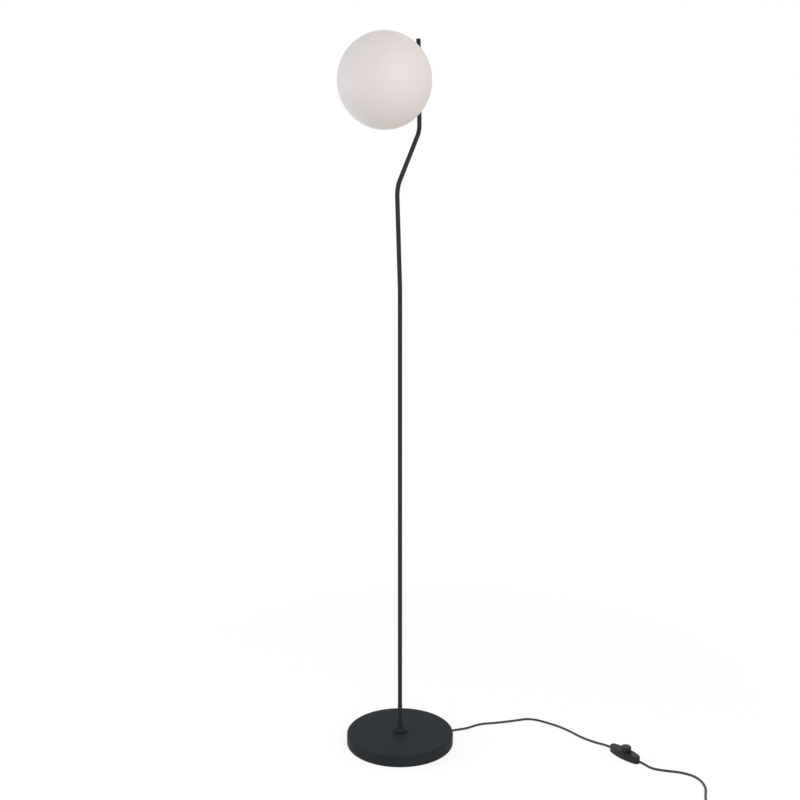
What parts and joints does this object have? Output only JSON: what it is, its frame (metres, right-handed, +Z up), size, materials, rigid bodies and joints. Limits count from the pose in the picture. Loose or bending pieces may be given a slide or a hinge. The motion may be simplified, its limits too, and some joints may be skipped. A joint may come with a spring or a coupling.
{
  "type": "floor lamp",
  "caption": "Floor lamp with a weighted round base, a thin bent pole, an opal glass globe held in front of it and a foot switch on its cord.",
  "frame": {"origin": "centre of the base's underside, on the floor", "axes": "+Z up the pole; -Y is the side on which the globe hangs; +X is to the right for someone who faces the globe"},
  "size_m": [0.8758, 0.4459, 1.5974],
  "materials": {
    "black_paint": "satin",
    "pole_paint": "satin",
    "raw_iron": "rough",
    "foot_pad": "matte",
    "zinc_steel": "satin",
    "brass": "satin",
    "opal_glass": "satin",
    "black_plastic": "satin",
    "cord_sheath": "matte",
    "live_core": "matte",
    "neutral_core": "matte",
    "core_pair": "matte",
    "white_plastic": "satin",
    "ceramic": "glazed",
    "nickel": "polished",
    "bulb_diffuser": "satin",
    "silicone": "matte",
    "clear_seal": "matte"
  },
  "bodies": {
    "lamp": {"base_pad": "foot_pad", "base_weight": "raw_iron", "base_cover": "black_paint", "base_stud": "zinc_steel", "base_washer": "zinc_steel", "base_nut": "zinc_steel", "foot_collar": "black_paint", "cord_grommet": "clear_seal", "cord_stop": "black_plastic", "base_lead": "cord_sheath", "terminal_block": "white_plastic", "lead_cores": "core_pair", "tube_lower": "pole_paint", "tube_middle": "pole_paint", "tube_upper": "pole_paint", "joint_stud_lower": "zinc_steel", "joint_stud_upper": "zinc_steel", "tube_end_cap": "black_plastic", "wire_live": "live_core", "wire_neutral": "neutral_core", "head_boss": "black_paint", "grub_screw": "zinc_steel", "head_nipple": "zinc_steel", "shade_cup": "black_paint", "cup_nut": "zinc_steel", "holder_cap": "black_plastic", "holder_skirt": "black_plastic", "holder_core": "ceramic", "screw_shell": "brass", "centre_contact": "brass", "bulb_tip": "nickel", "bulb_cap": "nickel", "bulb_housing": "white_plastic", "bulb_envelope": "bulb_diffuser", "switch_base": "black_plastic", "switch_cover": "black_plastic", "switch_spring": "zinc_steel", "spring_seat": "white_plastic", "switch_terminals": "brass", "terminal_screws": "zinc_steel", "switch_cores": "core_pair", "cord_clamps": "black_plastic", "switch_screws": "zinc_steel", "cord_to_switch": "cord_sheath", "cord_from_switch": "cord_sheath", "cord_coil": "cord_sheath", "cord_tail": "cord_sheath", "cord_tie": "black_plastic", "plug_boot": "black_plastic", "plug_body": "black_plastic", "pin_sleeves": "black_plastic", "plug_pins": "nickel"},
    "button": {"switch_button": "black_plastic"},
    "rotor": {"contact_rotor": "white_plastic"},
    "gasket": {"globe_gasket": "silicone"},
    "globe": {"glass_globe": "opal_glass", "globe_collar": "white_plastic"}
  },
  "joints": [
    {"name": "button_press", "type": "slide", "parent": "lamp", "child": "button", "axis": [0, 0, -1], "range_m": [0, 0.004], "stiffness_N_per_m": 500, "springref_m": -0.004, "deforming": ["switch_spring"]},
    {"name": "rotor_turn", "type": "hinge", "parent": "lamp", "child": "rotor", "pos_m": [0.45596, 0.24895, 0.0036], "axis": [0, 0, 1], "continuous": true},
    {"name": "globe_travel", "type": "slide", "parent": "lamp", "child": "gasket", "axis": [0, -1, 0], "range_m": [0, 0.008]},
    {"name": "globe_turn", "type": "hinge", "parent": "gasket", "child": "globe", "pos_m": [0, 0.05272, 1.494], "axis": [0, -1, 0], "range_deg": [0, 1440]}
  ],
  "couplings": [
    {"joint": "globe_travel", "follows": "globe_turn", "m_per_rad": 0.000318}
  ]
}
